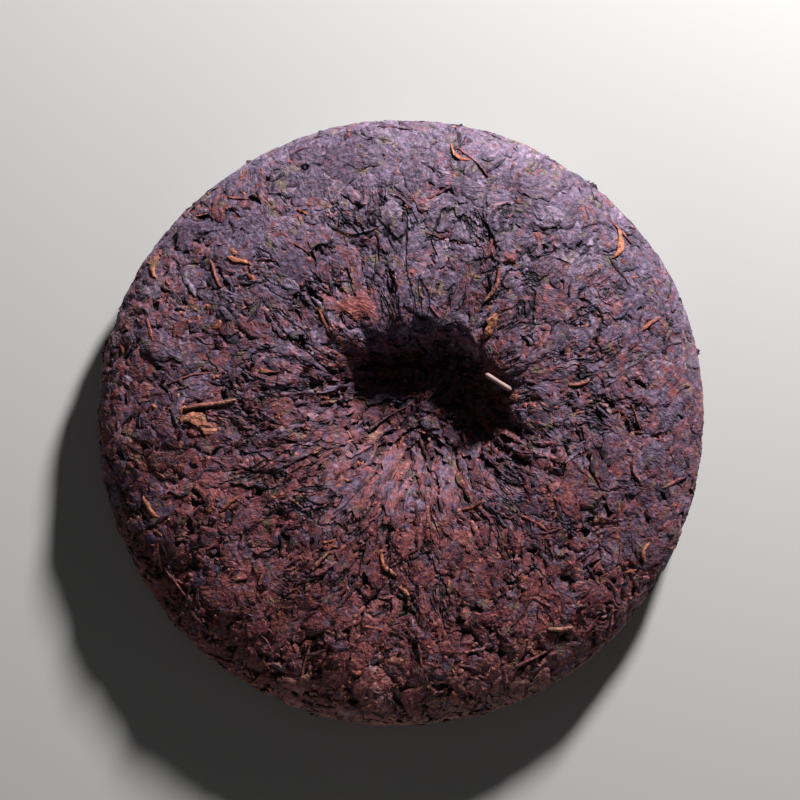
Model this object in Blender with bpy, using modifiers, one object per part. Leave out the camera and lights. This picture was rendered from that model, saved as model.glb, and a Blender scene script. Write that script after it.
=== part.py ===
"""A round cake of pressed pu erh tea, lying on its domed face with the knot hollow up.

Metres, +Z up. The origin lies under the middle of the cake's outline, on the surface it rests on.
The cake is one solid. Its section is turned about +Z, then pressed out of true as a hand-made cake
is: the hollow sits off centre and leans, folds of the cloth bag run into it, and the faces are lumpy.
"""

import math

import bpy
import numpy as np

# Driving dimensions
CAKE_RADIUS = 0.0995
CREST_HEIGHT = 0.0262
RIM_HEIGHT = 0.0113  # where the cake is widest
BASE_RADIUS = 0.038  # the flat that it rests on
HOLLOW_DEPTH = 0.0135
HOLLOW_RADIUS = 0.0245  # where the hollow is at half its depth
HOLLOW_STEEPNESS = 8.0

# How round the section is: exponents of the two superellipses that meet at the rim
UPPER_FULLNESS = 4.3
LOWER_FULLNESS = 3.6
RIM_ROUNDNESS = 2.0

# How the hollow sits: its middle, and how much further its floor lies towards the steep wall
HOLLOW_OFFSET = (0.0042, 0.0014)
FLOOR_OFFSET = (0.0035, 0.0050)
OFFSET_HOLDS_TO = 0.036  # rings out to this radius move with the hollow
OFFSET_ENDS_AT = 0.090
FLOOR_OFFSET_HOLDS_TO = 0.012
FLOOR_OFFSET_ENDS_AT = 0.036

# Folds that the gathered cloth left round the hollow
FOLD_COUNT = 17
FOLD_DEPTH = 0.0013
FOLD_START = 0.009
FOLD_PEAK = 0.026
FOLD_END = 0.068
FOLD_DRIFTS = ((3.0, 0.8, 1.0), (5.0, 0.5, 2.2))  # how the folds crowd and spread round the hollow
FOLD_TWIST = 9.0  # radians of drift for each metre outwards
FOLD_ROUNDNESS = 0.7  # the power that rounds a fold's back and sharpens its valleys
FOLD_DATUM = 0.7  # the share of a fold's height that lies level with the face

# Uneven faces and outline
LUMP_HEIGHT = 0.00030
LUMP_WAVES = ((148.0, 31.0, 0.4), (-83.0, 171.0, 1.9), (102.0, -188.0, 3.1), (-221.0, -67.0, 5.2))
OUTLINE_WAVES = ((2, 0.0034, -1.40), (3, 0.0036, -2.10), (5, 0.0018, 4.0), (9, 0.0011, 2.4))
MOUTH_WAVES = ((2, 0.050, 0.25), (3, 0.020, 2.6), (5, 0.015, 0.9))
MOUTH_HOLDS_TO = 0.034
MOUTH_ENDS_AT = 0.070

# Resolution
TURN_STEPS = 96
FLOOR_SPANS = 3
WALL_SPANS = 11
SHOULDER_SPANS = 9
UPPER_RIM_SPANS = 6
LOWER_RIM_SPANS = 5
DOME_SPANS = 4
BASE_SPANS = 2
FLOOR_EDGE = 0.014
WALL_EDGE = 0.036
RIM_START = 0.084
POLE_MERGE = 1e-6

LEAF_COLOUR = (0.070, 0.030, 0.032, 1.0)
LEAF_ROUGHNESS = 0.62


def smooth_step(low, high, value):
    """0 below low, 1 above high, and an S curve between them."""
    share = np.clip((value - low) / (high - low), 0.0, 1.0)
    return share * share * (3.0 - 2.0 * share)


def upper_height(radius):
    """The hollowed side: a superellipse, less a round-lipped hollow about the middle."""
    share = np.minimum(radius / CAKE_RADIUS, 1.0)
    dome = (1.0 - share**UPPER_FULLNESS) ** (1.0 / RIM_ROUNDNESS)
    hollow = HOLLOW_DEPTH / (1.0 + (radius / HOLLOW_RADIUS) ** HOLLOW_STEEPNESS)
    return RIM_HEIGHT + (CREST_HEIGHT - RIM_HEIGHT) * dome - hollow


def lower_height(radius):
    """The domed side: flat out to the base radius, then a quarter of a superellipse up to the rim."""
    share = np.clip((radius - BASE_RADIUS) / (CAKE_RADIUS - BASE_RADIUS), 0.0, 1.0)
    return RIM_HEIGHT * (1.0 - (1.0 - share**LOWER_FULLNESS) ** (1.0 / RIM_ROUNDNESS))


def rim_radii(spans, fullness, inner):
    """Radii from RIM_START to the rim that crowd together where the section turns upright."""
    start = math.asin(((RIM_START - inner) / (CAKE_RADIUS - inner)) ** (fullness / 2.0))
    turn = np.linspace(start, math.pi / 2.0, spans + 1)
    return inner + (CAKE_RADIUS - inner) * np.sin(turn) ** (2.0 / fullness)


def section():
    """Half the cake's section as (radius, height) pairs, from the hollow's floor round to the base."""
    upper = np.concatenate([
        np.linspace(0.0, FLOOR_EDGE, FLOOR_SPANS + 1)[:-1],
        np.linspace(FLOOR_EDGE, WALL_EDGE, WALL_SPANS + 1)[:-1],
        np.linspace(WALL_EDGE, RIM_START, SHOULDER_SPANS + 1)[:-1],
        rim_radii(UPPER_RIM_SPANS, UPPER_FULLNESS, 0.0),
    ])
    lower = np.concatenate([
        rim_radii(LOWER_RIM_SPANS, LOWER_FULLNESS, BASE_RADIUS)[::-1][1:],
        np.linspace(RIM_START, BASE_RADIUS, DOME_SPANS + 1)[1:],
        np.linspace(BASE_RADIUS, 0.0, BASE_SPANS + 1)[1:],
    ])
    return list(zip(upper, upper_height(upper))) + list(zip(lower, lower_height(lower)))


def turned_mesh(pairs):
    """The section turned about +Z by a Screw modifier, as a closed mesh."""
    outline = bpy.data.meshes.new("section")
    corners = [(radius, 0.0, height) for radius, height in pairs]
    outline.from_pydata(corners, [(i, i + 1) for i in range(len(corners) - 1)], [])
    guide = bpy.data.objects.new("section_guide", outline)
    bpy.context.scene.collection.objects.link(guide)
    screw = guide.modifiers.new("turn", "SCREW")
    screw.steps = TURN_STEPS
    screw.render_steps = TURN_STEPS
    screw.use_merge_vertices = True
    screw.merge_threshold = POLE_MERGE
    graph = bpy.context.evaluated_depsgraph_get()
    mesh = bpy.data.meshes.new_from_object(guide.evaluated_get(graph))
    bpy.data.objects.remove(guide)
    bpy.data.meshes.remove(outline)
    return mesh


def waves(angle, terms):
    """A sum of cosines round the cake, from (count, share, phase) terms."""
    return sum(share * np.cos(count * angle + phase) for count, share, phase in terms)


def folds(radius, angle):
    """Height of the cloth folds: round backs with sharp valleys, strongest at the hollow's lip."""
    drift = sum(share * np.sin(count * angle + phase) for count, share, phase in FOLD_DRIFTS)
    back = np.abs(np.sin(0.5 * FOLD_COUNT * angle + drift + FOLD_TWIST * radius)) ** FOLD_ROUNDNESS
    rise = smooth_step(FOLD_START, FOLD_PEAK, radius)
    fade = 1.0 - smooth_step(FOLD_PEAK, FOLD_END, radius)
    return FOLD_DEPTH * rise * fade * (back - FOLD_DATUM)


def lumps(x, y):
    """Gentle unevenness of a face, as crossed waves of 25 to 45 mm."""
    return LUMP_HEIGHT * sum(np.sin(kx * x + ky * y + phase) for kx, ky, phase in LUMP_WAVES)


def pressed(points):
    """Moves the turned points as pressing does, and returns them as an array of the same shape."""
    x, y, z = points.T
    radius, angle = np.hypot(x, y), np.arctan2(y, x)
    upper = z > (upper_height(radius) + lower_height(radius)) / 2.0

    mouth = waves(angle, MOUTH_WAVES) * (1.0 - smooth_step(MOUTH_HOLDS_TO, MOUTH_ENDS_AT, radius))
    spread = radius * (1.0 + mouth * upper) * (1.0 + waves(angle, OUTLINE_WAVES))
    with_hollow = (1.0 - smooth_step(OFFSET_HOLDS_TO, OFFSET_ENDS_AT, radius)) * upper
    with_floor = (1.0 - smooth_step(FLOOR_OFFSET_HOLDS_TO, FLOOR_OFFSET_ENDS_AT, radius)) * upper
    moved_x = spread * np.cos(angle) + HOLLOW_OFFSET[0] * with_hollow + FLOOR_OFFSET[0] * with_floor
    moved_y = spread * np.sin(angle) + HOLLOW_OFFSET[1] * with_hollow + FLOOR_OFFSET[1] * with_floor

    unevenness = np.where(upper, 1.0, smooth_step(BASE_RADIUS, RIM_START, radius))
    moved_z = z + folds(radius, angle) * upper + lumps(moved_x, moved_y) * unevenness
    return np.stack([moved_x, moved_y, np.maximum(moved_z, 0.0)], axis=1)


def centred(points):
    """The points with the middle of their outline moved over the origin."""
    middle = (points.min(axis=0) + points.max(axis=0)) / 2.0
    return points - np.array([middle[0], middle[1], 0.0])


def leaf_material():
    """Dark, faintly shining pressed leaf."""
    material = bpy.data.materials.new("pressed_leaf")
    material.use_nodes = True
    shader = material.node_tree.nodes["Principled BSDF"]
    shader.inputs["Base Color"].default_value = LEAF_COLOUR
    shader.inputs["Roughness"].default_value = LEAF_ROUGHNESS
    shader.inputs["Metallic"].default_value = 0.0
    return material


def tea_cake(collection):
    """Builds the cake as one object and links it to the collection."""
    mesh = turned_mesh(section())
    points = np.empty(len(mesh.vertices) * 3)
    mesh.vertices.foreach_get("co", points)
    points = centred(pressed(points.reshape(-1, 3)))
    mesh.vertices.foreach_set("co", points.ravel())
    mesh.update()
    mesh.shade_smooth()
    mesh.name = "tea_cake"
    mesh.materials.append(leaf_material())
    cake = bpy.data.objects.new("tea_cake", mesh)
    collection.objects.link(cake)
    return cake


def main():
    """Clears the scene and builds the cake in a collection of its own."""
    for old in list(bpy.data.objects):
        bpy.data.objects.remove(old)
    collection = bpy.data.collections.new("pu_erh_tea_cake")
    bpy.context.scene.collection.children.link(collection)
    tea_cake(collection)


main()
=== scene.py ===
"""The looks of a round cake of pressed pu erh tea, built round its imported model.

Metres, +Z up. The cake lies on its domed side with the knot hollow up. A dark core has the pressed
form a little under its true surface, and some thousands of real leaves, pleats, crumbs, buds and
stems lie in that surface, each one a closed mesh that follows it.
"""

import logging
import math
from dataclasses import dataclass, field, replace
from enum import Enum
from typing import Any, Sequence

import bpy
import numpy as np
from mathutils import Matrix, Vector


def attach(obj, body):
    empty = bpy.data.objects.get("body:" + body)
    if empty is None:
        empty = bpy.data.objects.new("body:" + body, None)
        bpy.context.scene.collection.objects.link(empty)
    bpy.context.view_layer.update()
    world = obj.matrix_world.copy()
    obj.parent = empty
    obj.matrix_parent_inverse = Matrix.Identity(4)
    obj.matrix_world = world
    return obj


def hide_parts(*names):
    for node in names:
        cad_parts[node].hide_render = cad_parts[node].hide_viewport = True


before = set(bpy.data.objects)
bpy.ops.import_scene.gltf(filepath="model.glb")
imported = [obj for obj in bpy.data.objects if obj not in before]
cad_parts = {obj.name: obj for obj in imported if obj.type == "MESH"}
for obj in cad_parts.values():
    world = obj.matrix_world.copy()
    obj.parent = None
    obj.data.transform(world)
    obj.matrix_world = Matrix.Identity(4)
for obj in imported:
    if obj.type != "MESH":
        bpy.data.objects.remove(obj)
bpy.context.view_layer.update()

BODY = "root"
CAKE_NODE = "tea_cake"
TAU = 2.0 * math.pi
GOLDEN_TURN = math.pi * (3.0 - math.sqrt(5.0))
SMOOTH_AND_PAINTED_COOL_WAY = (0.20, 0.98)  # towards the cake's smoother side, where more flat leaves lie, and its painted cooler side, a painted violet sheen
PAINTED_LIGHT_WAY = (-0.10, 0.99)  # towards the side that is painted lighter, painted light of the key lamp
MILLIMETRE = 0.001
MEAN_SINE = 2.0 / math.pi  # the mean size of a sine
WEAVE_SHIFT = (0.37, 0.41)  # how far apart the leaves' patterns lie, along them and across

log = logging.getLogger("tea_cake")

Colour = tuple[float, float, float]
Range = tuple[float, float]
Triple = tuple[float, float, float]
Quad = tuple[float, float, float, float]
Waves = tuple[Triple, ...]


# ---------------------------------------------------------------- the pressed form


def smooth_step(low: float, high: float, value: np.ndarray) -> np.ndarray:
    """0 below low, 1 above high, and the cubic 3t^2 - 2t^3 between them."""
    share = np.clip((value - low) / (high - low), 0.0, 1.0)
    return share * share * (3.0 - 2.0 * share)


def signed_power(value: np.ndarray, power: float) -> np.ndarray:
    """The value's size to a power, with its sign kept."""
    return np.sign(value) * np.abs(value) ** power


@dataclass(frozen=True)
class PressedForm:
    """The cake's surface as a function of two parameters: the angle round +Z, and the distance
    along the section from the hollow's floor, out over the rim and round to the middle of the base.

    The sizes are the CAD part's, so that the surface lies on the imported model.
    """

    radius: float = 0.0995
    crest_height: float = 0.0262
    rim_height: float = 0.0113
    base_radius: float = 0.038
    hollow_depth: float = 0.0135
    hollow_radius: float = 0.0245
    hollow_steepness: float = 8.0
    upper_fullness: float = 4.3
    lower_fullness: float = 3.6
    hollow_offset: Range = (0.0042, 0.0014)
    floor_offset: Range = (0.0035, 0.0050)
    offset_reach: Range = (0.036, 0.090)
    floor_offset_reach: Range = (0.012, 0.036)
    fold_count: int = 17
    fold_depth: float = 0.0013
    fold_reach: Triple = (0.009, 0.026, 0.068)
    fold_drifts: Waves = ((3.0, 0.8, 1.0), (5.0, 0.5, 2.2))
    fold_twist: float = 9.0
    fold_roundness: float = 0.7
    fold_datum: float = 0.7
    lump_height: float = 0.00030
    lump_waves: Waves = (
        (148.0, 31.0, 0.4), (-83.0, 171.0, 1.9), (102.0, -188.0, 3.1), (-221.0, -67.0, 5.2),
    )
    outline_waves: Waves = ((2, 0.0034, -1.40), (3, 0.0036, -2.10), (5, 0.0018, 4.0), (9, 0.0011, 2.4))
    mouth_waves: Waves = ((2, 0.050, 0.25), (3, 0.020, 2.6), (5, 0.015, 0.9))
    mouth_reach: Range = (0.034, 0.070)
    rim_start: float = 0.084

    skin: float = 0.0011  # how far the leaves' bed lies under the true surface
    crease_count: int = 43
    crease_depth: float = 0.00085
    crease_reach: Triple = (0.012, 0.034, 0.078)
    crease_drifts: tuple[Quad, ...] = ((4.0, 1.1, 0.6, 0.0), (7.0, 0.7, 3.3, 40.0))
    crease_twist: float = 14.0  # radians of drift back for each metre outwards
    crease_roundness: float = 0.4
    heave: float = 0.0010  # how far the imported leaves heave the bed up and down
    heave_waves: int = 14
    heave_lengths: Range = (0.009, 0.022)
    heave_seed: int = 3
    touch: float = 0.00025  # how softly the lowest leaves flatten on what the cake rests on
    sample_step: float = 0.0003
    pole_radius: float = 0.0002  # nearer to a pole than this, the chart stretches no further
    chart_rounds: int = 12
    upper_samples: int = 500
    lower_samples: int = 400
    rim_samples: int = 160
    outline_samples: int = 96

    arc: np.ndarray = field(init=False, repr=False)
    section: np.ndarray = field(init=False, repr=False)
    rim_along: float = field(init=False)
    middle: np.ndarray = field(init=False, repr=False)

    def __post_init__(self) -> None:
        """Works out the section's table and the middle of the outline."""
        inner = np.linspace(0.0, self.rim_start, self.upper_samples)[:-1]
        upper = np.concatenate([inner, self._rim_radii(self.upper_fullness, 0.0)])
        lower = np.concatenate([
            self._rim_radii(self.lower_fullness, self.base_radius)[::-1][1:],
            np.linspace(self.rim_start, 0.0, self.lower_samples)[1:],
        ])
        corners = np.concatenate([
            np.stack([upper, self.upper_height(upper)], axis=1),
            np.stack([lower, self.lower_height(lower)], axis=1),
        ])
        arc = np.concatenate([[0.0], np.cumsum(np.hypot(*np.diff(corners, axis=0).T))])
        object.__setattr__(self, "arc", arc)
        object.__setattr__(self, "section", corners)
        object.__setattr__(self, "rim_along", float(arc[len(upper) - 1]))
        object.__setattr__(self, "middle", np.zeros(3))
        turns = np.linspace(0.0, TAU, self.outline_samples, endpoint=False)
        angle, along = np.meshgrid(turns, arc[::4])
        points = self.pressed(angle.ravel(), along.ravel())
        middle = (points.min(axis=0) + points.max(axis=0)) / 2.0
        object.__setattr__(self, "middle", np.array([middle[0], middle[1], 0.0]))

    @property
    def whole_arc(self) -> float:
        """The section's length from the hollow's floor to the middle of the base."""
        return float(self.arc[-1])

    def _rim_radii(self, fullness: float, inner: float) -> np.ndarray:
        """Radii that crowd together at the rim: the superellipse's r = R sin(t)^(2/n)."""
        start = math.asin(((self.rim_start - inner) / (self.radius - inner)) ** (fullness / 2.0))
        turn = np.linspace(start, math.pi / 2.0, self.rim_samples)
        return inner + (self.radius - inner) * np.sin(turn) ** (2.0 / fullness)

    def upper_height(self, radius: np.ndarray) -> np.ndarray:
        """The hollowed side: a superellipse's quarter, less a round-lipped hollow about the middle."""
        share = np.minimum(radius / self.radius, 1.0)
        dome = np.sqrt(1.0 - share**self.upper_fullness)
        hollow = self.hollow_depth / (1.0 + (radius / self.hollow_radius) ** self.hollow_steepness)
        return self.rim_height + (self.crest_height - self.rim_height) * dome - hollow

    def lower_height(self, radius: np.ndarray) -> np.ndarray:
        """The domed side: flat to the base radius, then a superellipse's quarter up to the rim."""
        share = np.clip((radius - self.base_radius) / (self.radius - self.base_radius), 0.0, 1.0)
        return self.rim_height * (1.0 - np.sqrt(1.0 - share**self.lower_fullness))

    def radius_at(self, along: np.ndarray) -> np.ndarray:
        """The turned section's radius at a distance along it."""
        return np.interp(along, self.arc, self.section[:, 0])

    def pressed(self, angle: np.ndarray, along: np.ndarray) -> np.ndarray:
        """Points of the true surface: the turned section, pressed out of true.

        The turned point moves outwards by cosine waves of the angle, the hollow's rings move
        sideways by an offset that fades outwards, and the height gains the cloth's folds and
        a sum of crossed sine waves.

        Args:
            angle: the angles round +Z.
            along: the distances along the section, of the same shape.

        Returns:
            The points, with a last axis of three.
        """
        radius = self.radius_at(along)
        height = np.interp(along, self.arc, self.section[:, 1])
        upper = (along < self.rim_along).astype(float)
        mouth = self._waves(angle, self.mouth_waves) * (1.0 - smooth_step(*self.mouth_reach, radius))
        mouth = mouth * upper
        spread = radius * (1.0 + mouth) * (1.0 + self._waves(angle, self.outline_waves))
        with_hollow = (1.0 - smooth_step(*self.offset_reach, radius)) * upper
        with_floor = (1.0 - smooth_step(*self.floor_offset_reach, radius)) * upper
        hollow_x, hollow_y = self.hollow_offset
        floor_x, floor_y = self.floor_offset
        x = spread * np.cos(angle) + hollow_x * with_hollow + floor_x * with_floor
        y = spread * np.sin(angle) + hollow_y * with_hollow + floor_y * with_floor
        uneven = upper + (1.0 - upper) * smooth_step(self.base_radius, self.rim_start, radius)
        lumps = sum(np.sin(kx * x + ky * y + phase) for kx, ky, phase in self.lump_waves)
        z = height + self._folds(radius, angle) * upper + self.lump_height * lumps * uneven
        return np.stack([x, y, z], axis=-1) - self.middle

    @staticmethod
    def _waves(angle: np.ndarray, terms: Waves) -> np.ndarray:
        """A sum of cosines round the cake."""
        return sum(share * np.cos(count * angle + phase) for count, share, phase in terms)

    def _folds(self, radius: np.ndarray, angle: np.ndarray) -> np.ndarray:
        """The cloth's folds: a sine's size to a power, so round backs with sharp valleys."""
        start, peak, end = self.fold_reach
        drift = sum(share * np.sin(count * angle + phase) for count, share, phase in self.fold_drifts)
        back = np.abs(np.sin(0.5 * self.fold_count * angle + drift + self.fold_twist * radius))
        fade = smooth_step(start, peak, radius) * (1.0 - smooth_step(peak, end, radius))
        return self.fold_depth * fade * (back**self.fold_roundness - self.fold_datum)

    def _creases(self, radius: np.ndarray, angle: np.ndarray) -> np.ndarray:
        """Finer creases between the folds, as deep narrow valleys: a sine's size to a low power."""
        start, peak, end = self.crease_reach
        drift = sum(
            share * np.sin(count * angle + phase + slant * radius)
            for count, share, phase, slant in self.crease_drifts
        )
        back = np.abs(np.sin(0.5 * self.crease_count * angle + drift - self.crease_twist * radius))
        back = back**self.crease_roundness
        fade = smooth_step(start, peak, radius) * (1.0 - smooth_step(peak, end, radius))
        return self.crease_depth * fade * (back - 1.0)

    def bed(self, x: np.ndarray, y: np.ndarray, below: np.ndarray) -> tuple[np.ndarray, np.ndarray]:
        """The leaves' bed at chart points, and the direction out of it.

        A chart is the surface unrolled round its pole: the chart's distance from the pole is the
        distance along the section. One chart starts at the hollow's floor and one at the base. The
        normal is the cross product of two differences over a small step.

        Args:
            x: chart distances along +X.
            y: chart distances along +Y.
            below: true where the chart is the base's.

        Returns:
            The points and the unit normals.
        """
        step = self.sample_step
        here = self._charted(x, y, below)
        one = self._charted(x + step, y, below) - here
        other = self._charted(x, y + step, below) - here
        normal = np.cross(one, other) * np.where(below, -1.0, 1.0)[..., None]
        normal /= np.linalg.norm(normal, axis=-1, keepdims=True)
        return here - normal * self.skin, normal

    def _charted(self, x: np.ndarray, y: np.ndarray, below: np.ndarray) -> np.ndarray:
        """The surface with its finer creases, at chart points."""
        angle = np.arctan2(y, x)
        out = np.hypot(x, y)
        along = np.where(below, self.whole_arc - out, out)
        points = self.pressed(angle, along)
        upper = along < self.rim_along
        raised = self._creases(self.radius_at(along), angle) * upper + self._heaved(points)
        points[..., 2] += np.where(upper, raised, -raised)
        return points

    def _heaved(self, points: np.ndarray) -> np.ndarray:
        """Heave heights: the mean size of sine waves in random directions, less their average."""
        rng = np.random.default_rng(self.heave_seed)
        ways = rng.normal(size=(self.heave_waves, 3))
        lengths = rng.uniform(*self.heave_lengths, self.heave_waves)
        ways *= (TAU / lengths / np.linalg.norm(ways, axis=1))[:, None]
        crossed = np.abs(np.sin(points @ ways.T + rng.uniform(0.0, TAU, self.heave_waves)))
        return self.heave * (crossed.mean(axis=-1) - MEAN_SINE)

    def stretch(self, along: np.ndarray, below: np.ndarray) -> np.ndarray:
        """How much wider the chart is, round the pole, than the surface."""
        out = np.where(below, self.whole_arc - along, along)
        return out / np.maximum(self.radius_at(along), self.pole_radius)

    def chart_of(self, x: float, y: float) -> tuple[float, float]:
        """The upper side's chart point over a place, found by correcting a guess a few times."""
        guess = np.array([x, y])
        for _ in range(self.chart_rounds):
            found = self._charted(guess[:1], guess[1:], np.array([False]))[0, :2]
            guess = guess + (np.array([x, y]) - found)
        return float(guess[0]), float(guess[1])

    def rested(self, points: np.ndarray) -> np.ndarray:
        """Presses what lies lowest flat on the ground: z becomes half of z + sqrt(z^2 + touch^2)."""
        height = points[..., 2:]
        return np.concatenate([points[..., :2], 0.5 * (height + np.hypot(height, self.touch))], axis=-1)


# ---------------------------------------------------------------- meshes from arrays


def tube_triangles(count: int, rings: int, around: int) -> np.ndarray:
    """Corner numbers of closed tubes, each stored as its rings, then its first and last tip.

    Each square between two rings is cut in two, and a fan closes each end.

    Args:
        count: the number of tubes.
        rings: the rings along one tube.
        around: the points in one ring.

    Returns:
        An array of triangles, three numbers each.
    """
    ring, step = np.meshgrid(np.arange(rings - 1), np.arange(around), indexing="ij")
    here = ring * around + step
    beside = ring * around + (step + 1) % around
    ahead = here + around
    across = beside + around
    sides = np.concatenate([
        np.stack([here, beside, across], axis=-1).reshape(-1, 3),
        np.stack([here, across, ahead], axis=-1).reshape(-1, 3),
    ])
    turn = np.arange(around)
    following = (turn + 1) % around
    last = (rings - 1) * around
    first_tip = np.full(around, rings * around)
    start = np.stack([first_tip, following, turn], axis=-1)
    end = np.stack([first_tip + 1, last + turn, last + following], axis=-1)
    one = np.concatenate([sides, start, end])
    offsets = np.arange(count) * (rings * around + 2)
    return (one[None] + offsets[:, None, None]).reshape(-1, 3)


def put_in(name: str, points: np.ndarray, triangles: np.ndarray, marks: dict[str, np.ndarray],
           weave: np.ndarray, crisp: float) -> bpy.types.Object:
    """Makes a mesh object from arrays and links it to the scene.

    Args:
        name: the piece's name.
        points: the corners, one row each.
        triangles: corner numbers, three a row.
        marks: attributes with one value for each corner.
        weave: the UV place of each corner.
        crisp: the angle in radians past which an edge is sharp.

    Returns:
        The new object.
    """
    mesh = bpy.data.meshes.new(name)
    mesh.vertices.add(len(points))
    mesh.vertices.foreach_set("co", points.astype(np.float32).ravel())
    mesh.loops.add(triangles.size)
    mesh.loops.foreach_set("vertex_index", triangles.astype(np.int32).ravel())
    mesh.polygons.add(len(triangles))
    mesh.polygons.foreach_set("loop_start", np.arange(0, triangles.size, 3, dtype=np.int32))
    mesh.update(calc_edges=True)
    for mark, values in marks.items():
        attribute = mesh.attributes.new(mark, "FLOAT", "POINT")
        attribute.data.foreach_set("value", values.astype(np.float32).ravel())
    layer = mesh.uv_layers.new(name="weave")
    layer.uv.foreach_set("vector", weave[triangles.ravel()].astype(np.float32).ravel())
    mesh.shade_smooth()
    mesh.set_sharp_from_angle(angle=crisp)
    mesh.validate()
    piece = bpy.data.objects.new(name, mesh)
    bpy.context.scene.collection.objects.link(piece)
    return piece


# ---------------------------------------------------------------- shader nodes


class Wire:
    """A socket that plain arithmetic can be written on: each operator adds one Math node."""

    def __init__(self, bench: "Bench", socket: bpy.types.NodeSocket) -> None:
        """Keeps the socket and the tree that it belongs to."""
        self.bench = bench
        self.socket = socket

    def _math(self, operation: str, first: Any, second: Any = 0.0) -> "Wire":
        """One Math node of two values."""
        return self.bench.add("ShaderNodeMath", {"operation": operation}, {0: first, 1: second})

    def __add__(self, other: Any) -> "Wire":
        """The sum."""
        return self._math("ADD", self, other)

    __radd__ = __add__

    def __sub__(self, other: Any) -> "Wire":
        """The difference."""
        return self._math("SUBTRACT", self, other)

    def __rsub__(self, other: Any) -> "Wire":
        """A number less this value."""
        return self._math("SUBTRACT", other, self)

    def __mul__(self, other: Any) -> "Wire":
        """The product."""
        return self._math("MULTIPLY", self, other)

    __rmul__ = __mul__


class Bench:
    """One material's node tree, and the single way in which nodes are added to it."""

    def __init__(self, name: str) -> None:
        """Makes the material with its standard shader."""
        self.material = bpy.data.materials.new(name)
        self.material.use_nodes = True
        self.tree = self.material.node_tree
        self.shader = self.tree.nodes["Principled BSDF"]

    def add(self, kind: str, settings: dict[str, Any], inputs: dict[Any, Any], output: Any = 0) -> Wire:
        """Adds a node.

        Args:
            kind: the node's type.
            settings: its own settings, where "stops" are a ramp's (place, colour) pairs.
            inputs: values or wires for its sockets, by name or number.
            output: the socket to hand back, by name or number.

        Returns:
            A wire on that output.
        """
        node = self.tree.nodes.new(kind)
        for key, value in settings.items():
            if key == "stops":
                self._set_stops(node.color_ramp, value)
            else:
                setattr(node, key, value)
        for key, value in inputs.items():
            self.plug(node.inputs[key], value)
        return Wire(self, node.outputs[output])

    @staticmethod
    def _set_stops(ramp: bpy.types.ColorRamp, stops: Sequence[tuple[float, Colour]]) -> None:
        """Gives a ramp its stops."""
        while len(ramp.elements) < len(stops):
            ramp.elements.new(1.0)
        for element, (place, colour) in zip(ramp.elements, stops):
            element.position = place
            element.color = (*colour, 1.0)

    def plug(self, socket: bpy.types.NodeSocket, value: Any) -> None:
        """Links a wire to a socket, or sets the socket's own value."""
        if isinstance(value, Wire):
            self.tree.links.new(value.socket, socket)
        else:
            socket.default_value = value

    def noise(self, place: Wire, scale: float, detail: float = 2.0, roughness: float = 0.5) -> Wire:
        """A noise value from 0 to 1 at a place."""
        values = {"Vector": place, "Scale": scale, "Detail": detail, "Roughness": roughness}
        return self.add("ShaderNodeTexNoise", {}, values)

    def mix(self, first: Any, second: Any, share: Any) -> Wire:
        """Two colours mixed, with the given share of the second."""
        return self.add("ShaderNodeMix", {"data_type": "RGBA"}, {0: share, 6: first, 7: second}, 2)

    def ramp(self, value: Wire, low: float, high: float) -> Wire:
        """0 at low, 1 at high, and an S curve between them."""
        values = {"Value": value, "From Min": low, "From Max": high}
        return self.add("ShaderNodeMapRange", {"interpolation_type": "SMOOTHSTEP"}, values)

    def vector(self, operation: str, *inputs: Any) -> Wire:
        """One Vector Math node."""
        return self.add("ShaderNodeVectorMath", {"operation": operation}, dict(enumerate(inputs)))

    def mark(self, name: str) -> Wire:
        """A value that the mesh holds at each corner."""
        return self.add("ShaderNodeAttribute", {"attribute_name": name}, {}, "Fac")


# ---------------------------------------------------------------- finishes


class Hue(Enum):
    """Named leaf colours, each as its lightness, its warmth and its share of gold."""

    VIOLET = (0.55, 0.10, 0.0)
    GREY = (0.72, 0.05, 0.0)
    REDDISH = (0.60, 0.95, 0.10)
    BROWN = (0.85, 1.00, 0.35)
    RUSSET = (0.90, 1.00, 0.70)
    GOLDEN = (0.90, 0.90, 0.90)


Stops = tuple[tuple[float, Colour], ...]

COOL_LEAF: Stops = (
    (0.00, (0.009, 0.005, 0.009)),
    (0.35, (0.060, 0.037, 0.063)),
    (0.70, (0.164, 0.113, 0.174)),
    (1.00, (0.342, 0.260, 0.332)),
)
WARM_LEAF: Stops = (
    (0.00, (0.022, 0.005, 0.005)),
    (0.35, (0.124, 0.028, 0.029)),
    (0.70, (0.262, 0.074, 0.070)),
    (1.00, (0.430, 0.195, 0.150)),
)
GOLDEN_LEAF: Stops = (
    (0.00, (0.050, 0.014, 0.008)),
    (0.45, (0.285, 0.074, 0.038)),
    (1.00, (0.530, 0.190, 0.095)),
)


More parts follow.
